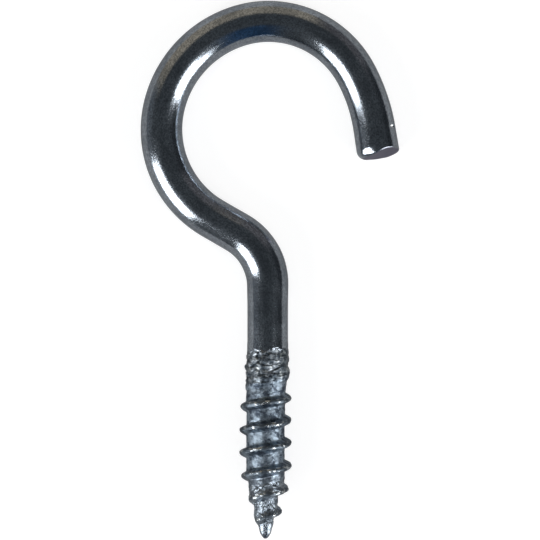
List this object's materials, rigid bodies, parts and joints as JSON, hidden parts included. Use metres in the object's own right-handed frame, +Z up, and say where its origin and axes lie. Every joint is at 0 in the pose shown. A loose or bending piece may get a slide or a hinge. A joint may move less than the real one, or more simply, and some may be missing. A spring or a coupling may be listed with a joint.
{
  "type": "screw hook",
  "caption": "Open wire hook on a wood-screw shank, bent from one length of round steel wire, with a rolled right-hand thread and a plain point.",
  "frame": {"origin": "on the floor, under the middle of the hook's box, as the hook lies flat", "axes": "+Y from the point towards the crown of the hook, +X towards the side where the hook's end comes down, +Z up from the floor"},
  "size_m": [0.0288, 0.0602, 0.0059],
  "materials": {
    "zinc_plated_steel": "bright zinc plate on steel wire, smooth on the bends, rough and scuffed on the thread"
  },
  "bodies": {
    "root": {"screw_hook": "zinc_plated_steel"}
  },
  "joints": []
}
